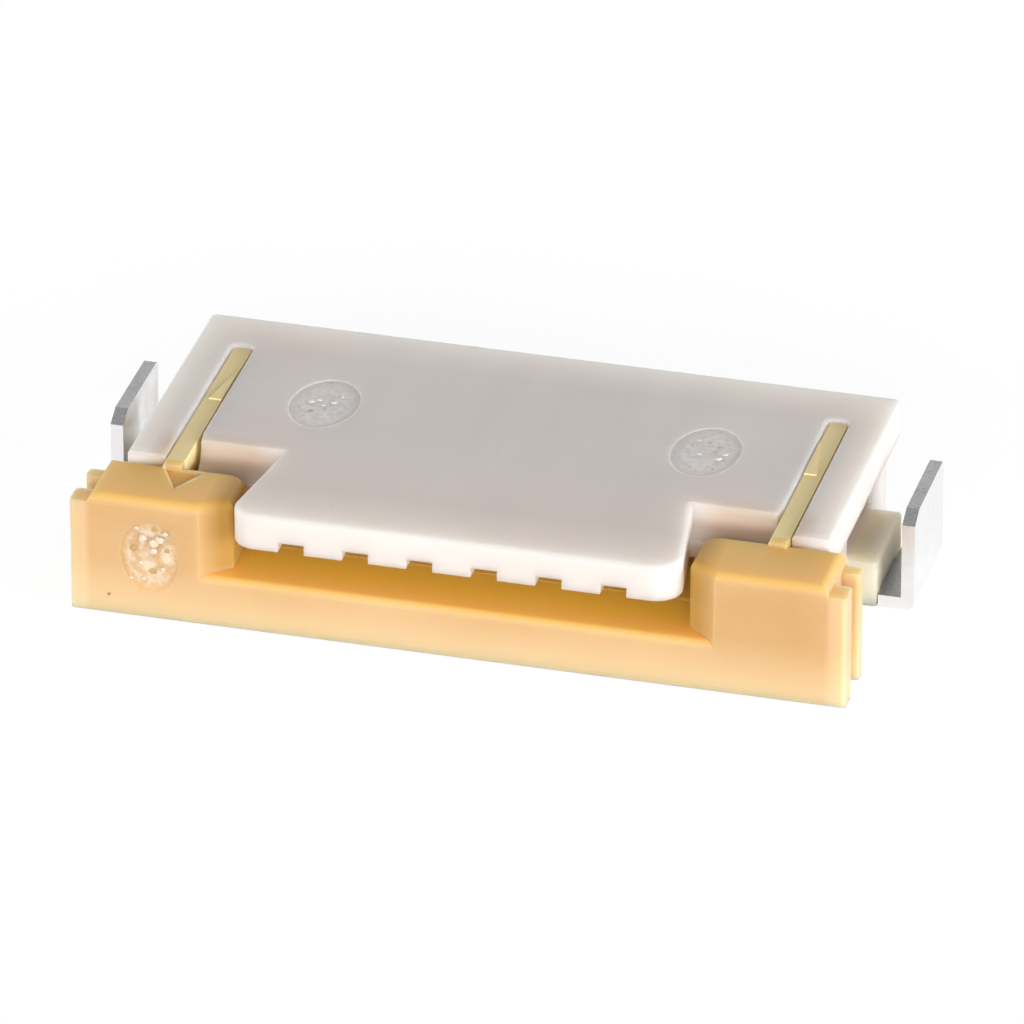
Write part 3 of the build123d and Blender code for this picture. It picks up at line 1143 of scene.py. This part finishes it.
@dataclass
class Softbox:
    """Wide low lamp on one side of the table, in metres. Its level is what a white card facing it shows."""

    name: str
    azimuth: float
    elevation: float
    level: float
    distance: float = 0.4
    width: float = 0.45
    height: float = 0.1
    tint: Colour = WHITE

    def build(self) -> None:
        """Place the lamp and aim it at the part."""
        away = direction(self.azimuth, self.elevation)
        lamp = bpy.data.lights.new(self.name, "AREA")
        lamp.shape = "RECTANGLE"
        lamp.size = self.width
        lamp.size_y = self.height
        lamp.color = self.tint
        lamp.energy = self.level * math.pi**2 * self.distance**2
        holder = bpy.data.objects.new(self.name, lamp)
        holder.location = away * self.distance
        holder.rotation_euler = (-away).to_track_quat("-Z", "Y").to_euler()
        holder.visible_camera = False
        bpy.context.scene.collection.objects.link(holder)
        log.info("lamp %s", self.name)


@dataclass
class Table:
    """White sweep, sky and softboxes around the part."""

    half_size: float = 1500.0
    drop: float = 0.01
    sky_level: float = 0.13
    lamps: tuple[Softbox, ...] = (
        Softbox("softbox_front", azimuth=5.0, elevation=19.0, level=0.875),
        Softbox("softbox_right", azimuth=79.0, elevation=11.0, level=1.03, tint=(0.97, 1.0, 1.04)),
        Softbox("softbox_back", azimuth=180.0, elevation=8.0, level=0.38),
        Softbox("softbox_left", azimuth=-90.0, elevation=8.0, level=0.49),
    )

    def floor(self) -> None:
        """Lay the paper just under the part."""
        corners = [(-1, -1), (1, -1), (1, 1), (-1, 1)]
        mesh = bpy.data.meshes.new("paper_floor")
        reach = self.half_size * MM
        mesh.from_pydata([(x * reach, y * reach, -self.drop * MM) for x, y in corners], [], [(0, 1, 2, 3)])
        paper = bpy.data.objects.new("paper_floor", mesh)
        bpy.context.scene.collection.objects.link(paper)
        dress(paper, PaperWhite().build())

    def sky(self) -> None:
        """Even white light from all round, plain white where it is seen."""
        world = bpy.data.worlds.new("studio_sky")
        graph = Graph(world)
        light, white = (
            graph.add("ShaderNodeBackground", {"Color": WHITE, "Strength": strength}).outputs["Background"]
            for strength in (self.sky_level, 1.0)
        )
        mix = graph.add("ShaderNodeMixShader", {0: graph.seen_directly(), 1: light, 2: white})
        graph.add("ShaderNodeOutputWorld", {"Surface": mix.outputs["Shader"]})
        bpy.context.scene.world = world

    def build(self) -> None:
        """Set up floor, sky and lamps."""
        self.floor()
        self.sky()
        for lamp in self.lamps:
            lamp.build()


@dataclass
class PhotoCamera:
    """Long lens at the photograph's angle, aimed so that the part sits where the photograph frames it.

    The anchor is a point on the part, and the anchor pixel is where the photograph shows it. The clipping
    distances are in metres.
    """

    azimuth: float = 15.24
    elevation: float = 29.14
    distance: float = 180.0
    pixels_per_mm: float = 66.83
    anchor: Triple = (0.0, -3.475, 1.55)
    anchor_pixel: tuple[float, float] = (451.06, 574.33)
    clip_start: float = 0.001
    clip_end: float = 20.0

    def build(self) -> None:
        """Create the camera and make it the scene's own."""
        turn = math.radians(self.azimuth)
        right = Vector((math.cos(turn), math.sin(turn), 0.0))
        back = direction(self.azimuth, self.elevation)
        up = back.cross(right)
        anchor = Vector(self.anchor)
        across, down = ((PHOTO_WIDTH / 2 - pixel) / self.pixels_per_mm for pixel in self.anchor_pixel)
        aim = anchor + right * across - up * down
        place = anchor + back * self.distance
        lens = bpy.data.cameras.new("photo_camera")
        lens.sensor_width = SENSOR_WIDTH
        lens.lens = self.pixels_per_mm * (place - aim).length * SENSOR_WIDTH / PHOTO_WIDTH
        lens.clip_start = self.clip_start
        lens.clip_end = self.clip_end
        camera = bpy.data.objects.new("photo_camera", lens)
        camera.location = place * MM
        camera.rotation_euler = (aim - place).to_track_quat("-Z", "Y").to_euler()
        bpy.context.scene.collection.objects.link(camera)
        bpy.context.scene.camera = camera
        log.info("camera %.1f mm lens at %.0f mm", lens.lens, self.distance)


def main() -> None:
    """Build the scene from its parts, in order."""
    logging.basicConfig(level=logging.INFO, format="%(name)s: %(message)s")
    bpy.context.scene.view_settings.view_transform = "Standard"
    for part in (HousingMoulding(), SlideLock(), ContactRow(), NailPair(), Table(), PhotoCamera()):
        part.build()


if __name__ == "__main__":
    main()
